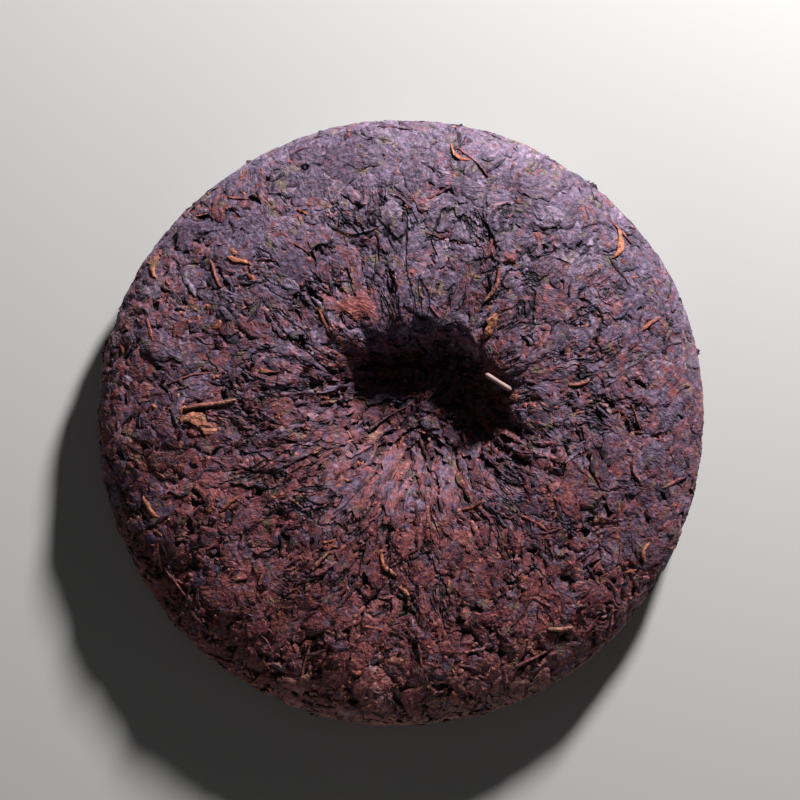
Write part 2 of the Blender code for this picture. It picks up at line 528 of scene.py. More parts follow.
@dataclass(frozen=True)
class LeafFinish:
    """Dry fermented leaf, felted together: violet-grey, red-brown and olive run into each other."""

    name: str
    cool: Stops = COOL_LEAF
    warm: Stops = WARM_LEAF
    golden: Stops = GOLDEN_LEAF
    mottle: float = 1.0  # how far the lightness wanders
    mottle_size: float = 0.0017
    blush: float = 2.3  # how far the warmth wanders
    blush_size: float = 0.0027
    colour_detail: float = 3.0
    colour_roughness: float = 0.65
    warm_band: Range = (0.05, 0.95)  # the warmths where cool leaf ends and warm leaf begins
    olive: Colour = (0.190, 0.145, 0.080)
    olive_size: float = 0.0050
    olive_share: float = 0.60
    olive_band: Range = (0.56, 0.70)
    patch_roughness: float = 0.6
    russet: Colour = (0.420, 0.150, 0.085)
    russet_size: float = 0.0013
    russet_share: float = 0.70
    russet_band: Range = (0.68, 0.74)
    russet_bias: float = 0.06  # how much likelier flecks are on warm leaf
    crease_length: float = 0.0052
    crease_width: float = 0.0030
    crease_band: float = 0.045  # how near its middle the noise counts as a crease
    crease_depth: float = 0.00010
    crease_shade: float = 0.55
    crease_detail: float = 3.0
    crease_broken: Range = (0.44, 0.56)
    crack_middle: Range = (0.006, 0.004)  # where the cracks radiate from
    crack_count: float = 5.4
    crack_length: float = 0.017
    crack_band: float = 0.042
    crack_reach: Quad = (0.026, 0.034, 0.058, 0.086)
    crack_depth: float = 0.00080
    crack_shade: float = 0.90
    crack_detail: float = 4.0
    crack_broken: Range = (0.41, 0.49)
    crack_broken_scale: float = 55.0
    line_roughness: float = 0.55
    line_distortion: float = 0.3
    swell: float = 0.00014
    swell_size: float = 0.0034
    crumple: float = 0.00034
    crumple_size: float = 0.0013
    crumple_detail: float = 1.6
    crumple_shade: float = 1.5
    grain: float = 0.00009
    grain_size: float = 0.0007
    fibre: float = 0.00036
    fibre_length: float = 0.0040
    fibre_width: float = 0.0010
    fibre_shade: float = 1.3
    shadow: float = 0.24  # what is left of the colour at a leaf's edge: painted shade
    roughness: Range = (0.52, 0.78)
    gloss_scale: float = 420.0
    specular: float = 0.27
    specular_tint: Colour = (0.84, 0.78, 1.0)
    sheen: float = 0.08
    sheen_tint: Colour = (0.80, 0.72, 1.0)

    def material(self) -> bpy.types.Material:
        """Makes the material: colours with painted light and shade over swells, crumples, creases and
        cracks.
        """
        bench = Bench(self.name)
        place = bench.add("ShaderNodeTexCoord", {}, {}, "Object")
        weave = bench.add("ShaderNodeUVMap", {"uv_map": "weave"}, {})
        crease = self._crease(bench, place, weave)
        crack = self._cracks(bench, place)
        fibre = bench.noise(self._drawn(bench, weave, self.fibre_length, self.fibre_width), 1.0)
        crumple = bench.noise(place, 1.0 / self.crumple_size, self.crumple_detail)
        swell = bench.noise(place, 1.0 / self.swell_size, 1.0)
        grain = bench.noise(place, 1.0 / self.grain_size, 1.0)
        # Painted light and shade: the colour darkens at the leaves' edges, in creases and cracks and in
        # the hollows of the crumple and fibre bumps, and lightens on their crests.
        lit = bench.mark("painted_light") * (1.0 - self.shadow) + self.shadow
        lit = lit * (crease * self.crease_shade + (1.0 - self.crease_shade))
        lit = lit * (crack * self.crack_shade + (1.0 - self.crack_shade))
        lit = lit * (crumple * self.crumple_shade + (1.0 - 0.5 * self.crumple_shade))
        lit = lit * (fibre * self.fibre_shade + (1.0 - 0.5 * self.fibre_shade))
        bench.plug(bench.shader.inputs["Base Color"], self._shaded(bench, self._colour(bench, place), lit))
        height = crease * self.crease_depth + crack * self.crack_depth
        height = height + crumple * self.crumple + swell * self.swell
        height = height + grain * self.grain + fibre * self.fibre
        bump = bench.add("ShaderNodeBump", {}, {"Strength": 1.0, "Distance": 1.0, "Height": height})
        bench.plug(bench.shader.inputs["Normal"], bump)
        smooth, rough = self.roughness
        gloss = bench.noise(place, self.gloss_scale) * (rough - smooth) + smooth
        bench.plug(bench.shader.inputs["Roughness"], gloss)
        bench.plug(bench.shader.inputs["Specular IOR Level"], self.specular)
        bench.plug(bench.shader.inputs["Specular Tint"], (*self.specular_tint, 1.0))
        bench.plug(bench.shader.inputs["Sheen Weight"], self.sheen)
        bench.plug(bench.shader.inputs["Sheen Tint"], (*self.sheen_tint, 1.0))
        return bench.material

    @staticmethod
    def _shaded(bench: Bench, colour: Wire, lit: Wire) -> Wire:
        """A colour times a grey: painted light and shade."""
        grey = bench.add("ShaderNodeCombineColor", {}, {0: lit, 1: lit, 2: lit})
        settings = {"data_type": "RGBA", "blend_type": "MULTIPLY"}
        return bench.add("ShaderNodeMix", settings, {0: 1.0, 6: colour, 7: grey}, 2)

    def _lines(self, bench: Bench, place: Wire, band: float, detail: float) -> Wire:
        """Wandering lines: 0 where a noise crosses its middle, and 1 away from there."""
        values = {"Vector": place, "Scale": 1.0, "Detail": detail}
        values |= {"Roughness": self.line_roughness, "Distortion": self.line_distortion}
        fold = bench.add("ShaderNodeTexNoise", {}, values)
        off = bench.add("ShaderNodeMath", {"operation": "ABSOLUTE"}, {0: fold - 0.5})
        return bench.ramp(off, 0.0, band)

    @staticmethod
    def _drawn(bench: Bench, weave: Wire, length: float, width: float) -> Wire:
        """The place on the leaf, in cells of a length along it and a width across it."""
        scale = (1.0 / length, 1.0 / width, 1.0)
        return bench.add("ShaderNodeMapping", {}, {"Vector": weave, "Scale": scale})

    def _crease(self, bench: Bench, place: Wire, weave: Wire) -> Wire:
        """Short creases drawn out along the leaf, where a second noise is high."""
        drawn = self._drawn(bench, weave, self.crease_length, self.crease_width)
        broken = bench.ramp(bench.noise(place, 1.0 / self.crease_length, 1.0), *self.crease_broken)
        return 1.0 - (1.0 - self._lines(bench, drawn, self.crease_band, self.crease_detail)) * broken

    def _cracks(self, bench: Bench, place: Wire) -> Wire:
        """Long broken cracks that run out from the hollow: 0 in a crack and 1 elsewhere.

        The noise is read at the direction from the hollow's middle, times a count, and at the
        distance over the cracks' length. It counts only in a ring round the hollow, and only
        where a second, coarser noise is high.

        Args:
            bench: the material's bench.
            place: the place in the object.

        Returns:
            A wire with the value.
        """
        middle = (-self.crack_middle[0], -self.crack_middle[1], 0.0)
        moved = bench.add("ShaderNodeMapping", {}, {"Vector": place, "Location": middle})
        level = bench.vector("MULTIPLY", moved, (1.0, 1.0, 0.0))
        way = bench.vector("NORMALIZE", level)
        reach = bench.add("ShaderNodeVectorMath", {"operation": "LENGTH"}, {0: level}, "Value")
        outwards = bench.add("ShaderNodeCombineXYZ", {}, {2: reach * (1.0 / self.crack_length)})
        spoke = bench.vector("MULTIPLY_ADD", way, (self.crack_count,) * 3, outwards)
        start, full, hold, end = self.crack_reach
        ring = bench.ramp(reach, start, full) * bench.ramp(reach, end, hold)
        broken = bench.ramp(bench.noise(place, self.crack_broken_scale, 1.0), *self.crack_broken)
        return 1.0 - (1.0 - self._lines(bench, spoke, self.crack_band, self.crack_detail)) * ring * broken

    def _colour(self, bench: Bench, place: Wire) -> Wire:
        """Cool and warm leaf mixed by warmth, then gold, then olive and russet patches."""
        detail = self.colour_detail
        patch = bench.noise(place, 1.0 / self.mottle_size, detail, self.colour_roughness)
        flush = bench.noise(place, 1.0 / self.blush_size, detail, self.colour_roughness)
        tone = bench.mark("tone") + (patch - 0.5) * self.mottle
        warmth = bench.mark("warmth") + (flush - 0.5) * self.blush
        ramps = [
            bench.add("ShaderNodeValToRGB", {"stops": stops}, {0: tone}, "Color")
            for stops in (self.cool, self.warm, self.golden)
        ]
        leaf = bench.mix(ramps[0], ramps[1], bench.ramp(warmth, *self.warm_band))
        leaf = bench.mix(leaf, ramps[2], bench.mark("gold"))
        cloud = bench.noise(place, 1.0 / self.olive_size, detail, self.patch_roughness)
        olive = bench.ramp(cloud, *self.olive_band) * self.olive_share
        leaf = bench.mix(leaf, (*self.olive, 1.0), olive)
        fleck = bench.noise(place, 1.0 / self.russet_size, 2.0, self.patch_roughness)
        fleck = fleck + warmth * self.russet_bias
        flecked = bench.ramp(fleck, *self.russet_band) * self.russet_share
        return bench.mix(leaf, (*self.russet, 1.0), flecked)


# ---------------------------------------------------------------- leaves


@dataclass(frozen=True)
class LeafShape:
    """The form that all leaves of one kind share: a closed tube, flattened and drawn to two tips.

    Shares are of the leaf's own width or thickness, so one shape serves leaves of every size.
    """

    rings: int = 9
    around: int = 10
    bluntness: float = 0.5  # power of the width's rise from a tip: small is blunt
    squareness: float = 0.55  # power of the ring's sine and cosine: small is boxy
    ruffle: float = 0.20  # how uneven the outline is
    wander: float = 0.03  # how far the midrib strays sideways, as a share of the length
    press: float = 1.0  # how much of a turned leaf's height is left
    wrinkle: float = 0.00012
    wrinkle_length: float = 0.0036
    dip: float = 0.0004  # how far the tips sink into the bed
    grit: Range = (0.00018, 0.00007)  # how far a corner strays, sideways and upwards
    edge_waves: Range = (1.3, 3.1)  # waves of the outline in one leaf's length, long and short
    short_wave: float = 0.6  # the short wave's height, as a share of the long one's
    thickness_rise: float = 0.6  # how much blunter the thickness is than the width
    stray_waves: float = 1.1
    wrinkle_waves: float = 1.4
    wrinkle_drift: float = 0.4
    cross_waves: float = 2.3
    crisp: float = 1.1

    @property
    def corners(self) -> int:
        """The corners of one leaf."""
        return self.rings * self.around + 2


@dataclass
class Leaves:
    """Where the leaves of one piece lie and how large each is: one entry in each array per leaf."""

    along: np.ndarray
    turn: np.ndarray
    heading: np.ndarray  # from straight outwards
    length: np.ndarray
    width: np.ndarray
    thickness: np.ndarray
    lift: np.ndarray
    roll: np.ndarray
    pitch: np.ndarray
    bend: np.ndarray
    twist: np.ndarray
    cup: np.ndarray
    hue: np.ndarray  # lightness, warmth and gold
    phases: np.ndarray  # eight random angles each
    seed: int

    def __len__(self) -> int:
        """The number of leaves."""
        return len(self.along)

    def local(self, shape: LeafShape) -> tuple[np.ndarray, np.ndarray, np.ndarray]:
        """The leaves' corners before they are laid on the bed.

        A ring's point is (w cos^k, t sin^k) of its angle, with w and t rising from 0 at the tips
        by a power of 4u(1 - u), and two waves along the leaf ruffle w. The ring turns about the
        midrib, which bends as a parabola and strays as a sine, and the height gains a wrinkle, a
        cup, a roll, a pitch and the lift.

        Args:
            shape: what the leaves share.

        Returns:
            The corners as (leaf, corner, (along, across, up)), their painted light and their weave.
        """
        share = 0.5 - 0.5 * np.cos(np.pi * np.arange(shape.rings + 2) / (shape.rings + 1))
        share = share[None, :, None]
        angle = (TAU * np.arange(shape.around) / shape.around)[None, None, :]
        column = {
            name: getattr(self, name)[:, None, None]
            for name in ("length", "width", "thickness", "lift", "roll", "pitch", "bend", "twist", "cup")
        }
        phase = self.phases.T[:, :, None, None]
        rise = np.clip(4.0 * share * (1.0 - share), 0.0, 1.0)
        cosine = signed_power(np.cos(angle), shape.squareness)
        sine = signed_power(np.sin(angle), shape.squareness)
        long, short = shape.edge_waves
        edges = [
            1.0 + shape.ruffle * (
                np.sin(TAU * long * share + phase[k])
                + shape.short_wave * np.sin(TAU * short * share + phase[k + 1])
            )
            for k in (0, 2)
        ]
        outline = np.where(cosine >= 0.0, edges[0], edges[1])
        across = 0.5 * column["width"] * rise**shape.bluntness * outline * cosine
        up = 0.5 * column["thickness"] * rise ** (shape.thickness_rise * shape.bluntness) * sine
        turned = column["twist"] * (share - 0.5) + phase[4] * (column["twist"] != 0.0)
        side = across * np.cos(turned) - up * np.sin(turned)
        top = (across * np.sin(turned) + up * np.cos(turned)) * shape.press
        length = (share - 0.5) * column["length"] + 0.0 * side
        bow = column["bend"] * column["length"] * ((2.0 * share - 1.0) ** 2 - 0.33)
        stray = shape.wander * column["length"] * np.sin(TAU * share * shape.stray_waves + phase[5])
        drift = shape.wrinkle_drift * np.sin(TAU * share * shape.wrinkle_waves + phase[6])
        crossing = TAU * (side / shape.wrinkle_length + drift)
        along = 0.5 * np.sin(TAU * shape.cross_waves * share + phase[0])
        wrinkle = shape.wrinkle * (np.sin(crossing + phase[7]) + along)
        cupped = column["cup"] * (2.0 * side / column["width"]) ** 2
        tilt = column["roll"] * side + column["pitch"] * length
        sunk = shape.dip * (2.0 * share - 1.0) ** 4
        height = top + wrinkle + cupped + tilt + column["lift"] - sunk
        # Painted light: highest along the leaf's top, falling to painted shade at its edges, on its
        # underside and at its tips.
        painted_light = np.clip(sine, 0.0, 1.0) * rise**0.25 + 0.0 * side
        weave_x = length + WEAVE_SHIFT[0] * self.phases[:, 0][:, None, None]
        weave_y = side + WEAVE_SHIFT[1] * self.phases[:, 1][:, None, None]
        grit = np.random.default_rng(self.seed).normal(size=(2, *side.shape))
        sideways = side + bow + stray + shape.grit[0] * grit[0]
        raised = height + shape.grit[1] * grit[1]
        grid = np.stack([length, sideways, raised, painted_light, weave_x, weave_y], axis=-1)
        body = grid[:, 1:-1].reshape(len(self), -1, 6)
        packed = np.concatenate([body, grid[:, :1, 0], grid[:, -1:, 0]], axis=1)
        return packed[..., :3], packed[..., 3], packed[..., 4:]

    def piece(self, name: str, form: PressedForm, shape: LeafShape) -> bpy.types.Object:
        """Lays the leaves on the bed and makes them one mesh.

        A corner's place in the chart is the leaf's own, turned to its heading and widened by the
        chart's stretch. The corner then stands its height out of the bed, along the normal.

        Args:
            name: the piece's name.
            form: the pressed form that they follow.
            shape: what the leaves share.

        Returns:
            The piece.
        """
        local, painted_light, weave = self.local(shape)
        below = (self.along > form.rim_along)[:, None]
        out = np.where(below[:, 0], form.whole_arc - self.along, self.along)[:, None]
        heading = self.heading[:, None]
        outwards = local[..., 0] * np.cos(heading) - local[..., 1] * np.sin(heading)
        sideways = local[..., 0] * np.sin(heading) + local[..., 1] * np.cos(heading)
        sideways = sideways * np.where(below, -1.0, 1.0) * form.stretch(self.along, below[:, 0])[:, None]
        turn = self.turn[:, None]
        x = (out + outwards) * np.cos(turn) - sideways * np.sin(turn)
        y = (out + outwards) * np.sin(turn) + sideways * np.cos(turn)
        bed, normal = form.bed(x, y, np.broadcast_to(below, x.shape))
        points = form.rested(bed + normal * local[..., 2:3])
        marks = {
            name: np.broadcast_to(self.hue[:, number, None], painted_light.shape)
            for number, name in enumerate(("tone", "warmth", "gold"))
        }
        # The painted light that darkens each leaf's edges and tips into painted shade.
        marks["painted_light"] = painted_light
        triangles = tube_triangles(len(self), shape.rings, shape.around)
        return put_in(name, points.reshape(-1, 3), triangles, marks, weave.reshape(-1, 2), shape.crisp)


class Side(Enum):
    """The stretch of the section that a kind of leaf lies on, as shares of the way to the rim."""

    HOLLOWED = (0.0, 1.06)
    DOMED = (1.0, 2.0)
    ALL = (0.0, 2.0)
    LIP = (0.17, 0.50)


@dataclass(frozen=True)
class Mixture:
    """How the colours of one kind of leaf are drawn: middles, spreads, and drifts across the cake that are
    painted light, lighter and cooler towards the lamp's side and lighter again at the far rim.
    """

    tone: float = 0.54
    tone_spread: float = 0.07
    painted_tone_drift: Range = (0.10, 0.60)  # painted light: the steady drift lighter towards the lamp's side, and the painted bounce light that lifts the far rim
    warmth: float = 0.48
    warmth_spread: float = 0.16
    painted_warmth_drift: float = -0.42  # painted light: how much less warm they are on the cooler side, a painted violet sheen there and painted warm bounce light opposite
    gold: float = 0.0  # the share of leaves that hold gold
    gold_depth: Range = (0.4, 1.0)
    far_power: int = 5  # how close to the far rim its painted bounce light stays

    def draw(self, x: np.ndarray, y: np.ndarray, reach: float, rng: np.random.Generator) -> np.ndarray:
        """Draws lightness, warmth and gold for leaves at places on a cake of a reach."""
        across = (x * SMOOTH_AND_PAINTED_COOL_WAY[0] + y * SMOOTH_AND_PAINTED_COOL_WAY[1]) / reach
        # Painted light: tone drifts lighter towards the lamp's side, with painted bounce light lifting the
        # far rim.
        painted_lampward = (x * PAINTED_LIGHT_WAY[0] + y * PAINTED_LIGHT_WAY[1]) / reach
        steady, lift = self.painted_tone_drift
        lighter = steady * painted_lampward + lift * np.maximum(-painted_lampward, 0.0) ** self.far_power
        tone = rng.normal(self.tone, self.tone_spread, len(x)) + lighter
        # Painted light: warmth falls towards the cooler side, a painted violet sheen there and painted
        # warm bounce light opposite.
        warmth = rng.normal(self.warmth, self.warmth_spread, len(x)) + self.painted_warmth_drift * across
        gold = (rng.random(len(x)) < self.gold) * rng.uniform(*self.gold_depth, len(x))
        return np.clip(np.stack([tone, warmth, gold], axis=1), 0.0, 1.0)


@dataclass(frozen=True)
class LeafKind:
    """One kind of leaf: how many there are, how large they grow and how they lie."""

    name: str
    count: int
    shape: LeafShape
    length: Range
    width: Range
    thickness: Range
    lift: Range
    side: Side = Side.HOLLOWED
    crowding: float = 1.0  # how much closer together they lie at the hollow than at the rim
    roll: float = 0.07
    pitch: float = 0.03
    bend: float = 0.10
    twist: float = 0.0
    cup: Range = (-0.0003, 0.0001)
    gathered: float = 0.25  # how far from straight outwards they lie near the hollow, in radians
    scattered: float = 1.4  # and how far from it outside the folds
    gathered_reach: Range = (0.045, 0.078)
    favour: float = 0.0  # how many more of them lie on the smoother side: 0 for even
    mixture: Mixture = Mixture()
    seed: int = 1
    size_power: float = 1.3  # how much commoner short leaves are than long ones
    hollow_reach: Range = (0.020, 0.046)
    hollow_shrink: Triple = (0.35, 0.45, 0.25)  # what length, width and thickness lose in the hollow
    rim_reach: Range = (0.080, 0.100)
    rim_calm: float = 0.6  # what roll and pitch lose on the rim
    crowding_reach: Range = (0.03, 0.09)
    arc_samples: int = 2000
    base_gap: float = 0.002  # kept clear round the middle of the base
    turn_spread: float = 0.03

    def build(self, form: PressedForm) -> bpy.types.Object:
        """Scatters the leaves evenly and makes them one piece.

        The n-th leaf lies a golden angle round from the last, at the distance that has its even
        share of the surface inside it.

        Args:
            form: the pressed form that they follow.

        Returns:
            The piece.
        """
        rng = np.random.default_rng(self.seed)
        along, turn = self._places(form, rng)
        count = len(along)
        radius = form.radius_at(along)
        inner = 1.0 - smooth_step(*self.hollow_reach, along)
        shorter, narrower, thinner = (1.0 - share * inner for share in self.hollow_shrink)
        loose = smooth_step(*self.gathered_reach, along)
        spread = self.gathered + (self.scattered - self.gathered) * loose
        size = rng.random(count) ** self.size_power
        calm = 1.0 - self.rim_calm * smooth_step(*self.rim_reach, along)
        leaves = Leaves(
            along=along,
            turn=turn,
            heading=rng.normal(0.0, 1.0, count) * spread,
            length=(self.length[0] + (self.length[1] - self.length[0]) * size) * shorter,
            width=rng.uniform(*self.width, count) * narrower,
            thickness=rng.uniform(*self.thickness, count) * thinner,
            lift=rng.uniform(*self.lift, count),
            roll=rng.normal(0.0, self.roll, count) * calm,
            pitch=rng.normal(0.0, self.pitch, count) * calm,
            bend=rng.normal(0.0, self.bend, count),
            twist=rng.normal(0.0, 1.0, count) * self.twist,
            cup=rng.uniform(*self.cup, count),
            hue=self.mixture.draw(radius * np.cos(turn), radius * np.sin(turn), form.radius, rng),
            phases=rng.uniform(0.0, TAU, (count, 8)),
            seed=self.seed,
        )
        return leaves.piece(self.name, form, self.shape)

    def _places(self, form: PressedForm, rng: np.random.Generator) -> tuple[np.ndarray, np.ndarray]:
        """Even places on this kind's side, thinned by favour: distances along the section and angles."""
        low, high = (share * form.rim_along for share in self.side.value)
        arc = np.linspace(low, min(high, form.whole_arc - self.base_gap), self.arc_samples)
        crowded = 1.0 - smooth_step(*self.crowding_reach, arc)
        weight = form.radius_at(arc) * (1.0 + (self.crowding - 1.0) * crowded)
        inside = np.cumsum(weight)
        share = (np.arange(self.count) + rng.random(self.count)) / self.count
        along = np.interp(share * inside[-1], inside, arc)
        strayed = rng.normal(0.0, self.turn_spread, self.count)
        turn = np.arange(self.count) * GOLDEN_TURN + self.seed + strayed
        if self.favour != 0.0:
            towards = np.cos(turn) * SMOOTH_AND_PAINTED_COOL_WAY[0] + np.sin(turn) * SMOOTH_AND_PAINTED_COOL_WAY[1]
            across = form.radius_at(along) / form.radius * towards
            kept = rng.random(self.count) < 0.5 + self.favour * across
            along, turn = along[kept], turn[kept]
        return along, turn % TAU


BROAD = LeafShape(rings=9, around=10, bluntness=0.42, squareness=0.5, ruffle=0.22, wander=0.06,
                  wrinkle=0.00014, wrinkle_length=0.0034, dip=0.00035, grit=(0.00026, 0.00007))
FLAT = LeafShape(rings=11, around=10, bluntness=0.38, squareness=0.5, ruffle=0.18, wander=0.05,
                 wrinkle=0.00016, wrinkle_length=0.0042, dip=0.0006, grit=(0.00026, 0.00007))
ROLLED = LeafShape(rings=8, around=8, bluntness=0.45, squareness=0.7, ruffle=0.20, wander=0.03, press=0.36,
                   wrinkle=0.00008, wrinkle_length=0.0026, dip=0.0004, grit=(0.00016, 0.00008))
PLEAT = LeafShape(rings=18, around=8, bluntness=0.34, squareness=0.6, ruffle=0.22, wander=0.03,
                  wrinkle=0.00012, wrinkle_length=0.0022, dip=0.0006, grit=(0.00018, 0.00009))
CRUMB = LeafShape(rings=5, around=6, bluntness=0.45, squareness=0.6, ruffle=0.25, wander=0.05,
                  wrinkle=0.00006, wrinkle_length=0.0018, dip=0.0001, grit=(0.00020, 0.00010))
TIP = LeafShape(rings=8, around=6, bluntness=0.5, squareness=0.7, ruffle=0.22, wander=0.03,
                press=0.6, wrinkle=0.00004, wrinkle_length=0.0015, dip=0.0003, grit=(0.00008, 0.00005))
STEM = LeafShape(rings=9, around=8, bluntness=0.16, squareness=0.9, ruffle=0.06, wander=0.012,
                 wrinkle=0.00003, wrinkle_length=0.0009, dip=0.0002, grit=(0.00004, 0.00003))

KINDS: tuple[LeafKind, ...] = (
    LeafKind("broad_leaves", 1100, BROAD, (0.006, 0.016), (0.0036, 0.0080), (0.0004, 0.0007),
             (0.0003, 0.0008), gathered=0.60, seed=11),
    LeafKind("rolled_leaves", 1520, ROLLED, (0.004, 0.013), (0.0010, 0.0026), (0.0007, 0.0011),
             (0.0004, 0.0009), twist=1.6, bend=0.07, crowding=1.3, gathered=0.45, seed=12,
             mixture=Mixture(gold=0.04)),
    LeafKind("pleats", 130, PLEAT, (0.014, 0.030), (0.0018, 0.0036), (0.0006, 0.0010),
             (0.0003, 0.0007), side=Side.LIP, crowding=1.6, bend=0.03, gathered=0.10, scattered=0.30,
             seed=13),
    LeafKind("crumbs", 4200, CRUMB, (0.0018, 0.0050), (0.0010, 0.0028), (0.0004, 0.0006),
             (0.0004, 0.0008), roll=0.10, pitch=0.06, crowding=1.2, gathered=1.0, favour=-0.5, seed=14,
             mixture=Mixture(tone=0.58, tone_spread=0.14, warmth=0.58, gold=0.10)),
    LeafKind("flat_leaves", 760, FLAT, (0.009, 0.021), (0.0065, 0.0125), (0.0005, 0.0007),
             (0.0004, 0.0008), roll=0.05, pitch=0.025, crowding=0.6, gathered=0.6, favour=0.5, seed=19,
             mixture=Mixture(tone=0.54, warmth=0.38)),
    LeafKind("golden_tips", 620, TIP, (0.0025, 0.0065), (0.0006, 0.0012), (0.0004, 0.0007),
             (0.0005, 0.0009), side=Side.ALL, bend=0.05, gathered=0.6, seed=15,
             mixture=Mixture(tone=0.65, warmth=0.9, gold=0.6)),
    LeafKind("stems", 110, STEM, (0.006, 0.017), (0.0009, 0.0015), (0.0010, 0.0014),
             (0.0004, 0.0008), side=Side.ALL, bend=0.04, gathered=0.5, seed=16,
             mixture=Mixture(tone=0.5, warmth=0.9, gold=0.35)),
    LeafKind("domed_side_leaves", 800, BROAD, (0.007, 0.018), (0.0045, 0.0095), (0.0005, 0.0008),
             (0.0003, 0.0007), side=Side.DOMED, seed=17),
    LeafKind("domed_side_rolled_leaves", 600, ROLLED, (0.006, 0.018), (0.0018, 0.0040), (0.0006, 0.0010),
             (0.0003, 0.0007), side=Side.DOMED, twist=1.6, bend=0.06, seed=18,
             mixture=Mixture(gold=0.03)),
)


# ---------------------------------------------------------------- the core


@dataclass(frozen=True)
class Core:
    """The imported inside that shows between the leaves: one closed grid under the leaves' bed."""

    turns: int = 560
    spans: int = 176
    crumple: float = 0.00035
    waves: int = 26
    wave_lengths: Range = (0.0035, 0.0095)
    depth: float = 0.0001
    gain: float = 5.0
    tone: Range = (0.42, 0.10)  # the middle, and what a crumple's height adds: painted shade, darker in its valleys
    warmth: float = 0.5
    painted_light: Range = (0.4, 0.4)  # the same for its painted light, so the crumple's valleys get painted shade
    seed: int = 5

    def build(self, form: PressedForm) -> bpy.types.Object:
        """Makes the grid over the angle and the distance along the section.

        Args:
            form: the pressed form.

        Returns:
            The piece.
        """
        angle = -TAU * np.arange(self.turns) / self.turns
        out = np.linspace(0.0, form.whole_arc, self.spans + 2)
        along, turn = np.meshgrid(out[1:-1], angle, indexing="ij")
        along = np.concatenate([along.ravel(), out[[0, -1]]])
        turn = np.concatenate([turn.ravel(), [0.0, 0.0]])
        below = along > form.rim_along
        reach = np.where(below, form.whole_arc - along, along)
        bed, normal = form.bed(reach * np.cos(turn), reach * np.sin(turn), below)
        relief = self._crumpled(bed)
        points = form.rested(bed + normal * (relief - self.depth)[:, None])
        height = relief / self.crumple
        # Tone and painted light both fall with the crumple's height: painted shade in its valleys.
        marks = {
            "tone": self.tone[0] + self.tone[1] * height,
            "warmth": np.full(len(points), self.warmth),
            "gold": np.zeros(len(points)),
            "painted_light": np.clip(self.painted_light[0] + self.painted_light[1] * height, 0.0, 1.0),
        }
        weave = np.stack([along, form.radius * turn], axis=1)
        triangles = tube_triangles(1, self.spans, self.turns)
        return put_in("cake_core", points, triangles, marks, weave, math.pi)

    def _crumpled(self, points: np.ndarray) -> np.ndarray:
        """Crumple heights: the mean size of sine waves in random directions, less their average."""
        rng = np.random.default_rng(self.seed)
        ways = rng.normal(size=(self.waves, 3))
        ways /= np.linalg.norm(ways, axis=1, keepdims=True)
        lengths = rng.uniform(*self.wave_lengths, self.waves)
        phases = rng.uniform(0.0, TAU, self.waves)
        crossed = np.abs(np.sin(points @ (ways * (TAU / lengths)[:, None]).T + phases))
        return self.crumple * (crossed.mean(axis=1) - MEAN_SINE) * self.gain


# ---------------------------------------------------------------- single leaves


@dataclass(frozen=True)
class Mark:
    """One leaf, stem or bud that stands out, laid from one place to another."""

    start: Range  # millimetres from the cake's middle
    end: Range
    width: float
    hue: Hue
    lift: float = 0.9
    bend: float = 0.0
    cup: float = 0.0
    roll: float = 0.0


@dataclass(frozen=True)
class MarkedLeaves:
    """The leaves, stems and buds that stand out, one piece for each shape."""

    name: str
    shape: LeafShape
    marks: tuple[Mark, ...]
    thickness: float = 0.0011
    seed: int = 21

    def build(self, form: PressedForm) -> bpy.types.Object:
        """Lays each one between its two places.

        Args:
            form: the pressed form.

        Returns:
            The piece.
        """
        starts = np.array([form.chart_of(*(MILLIMETRE * v for v in mark.start)) for mark in self.marks])
        ends = np.array([form.chart_of(*(MILLIMETRE * v for v in mark.end)) for mark in self.marks])
        middles = (starts + ends) / 2.0
        turn = np.arctan2(middles[:, 1], middles[:, 0])
        run = ends - starts
        count = len(self.marks)
        rng = np.random.default_rng(self.seed)
        leaves = Leaves(
            along=np.hypot(*middles.T),
            turn=turn,
            heading=np.arctan2(run[:, 1], run[:, 0]) - turn,
            length=np.hypot(*run.T),
            width=MILLIMETRE * self._column("width"),
            thickness=np.full(count, self.thickness),
            lift=MILLIMETRE * self._column("lift"),
            roll=self._column("roll"),
            pitch=np.zeros(count),
            bend=self._column("bend"),
            twist=np.zeros(count),
            cup=MILLIMETRE * self._column("cup"),
            hue=np.array([mark.hue.value for mark in self.marks]),
            phases=rng.uniform(0.0, TAU, (count, 8)),
            seed=self.seed,
        )
        return leaves.piece(self.name, form, self.shape)

    def _column(self, name: str) -> np.ndarray:
        """One size of every mark."""
        return np.array([getattr(mark, name) for mark in self.marks], float)


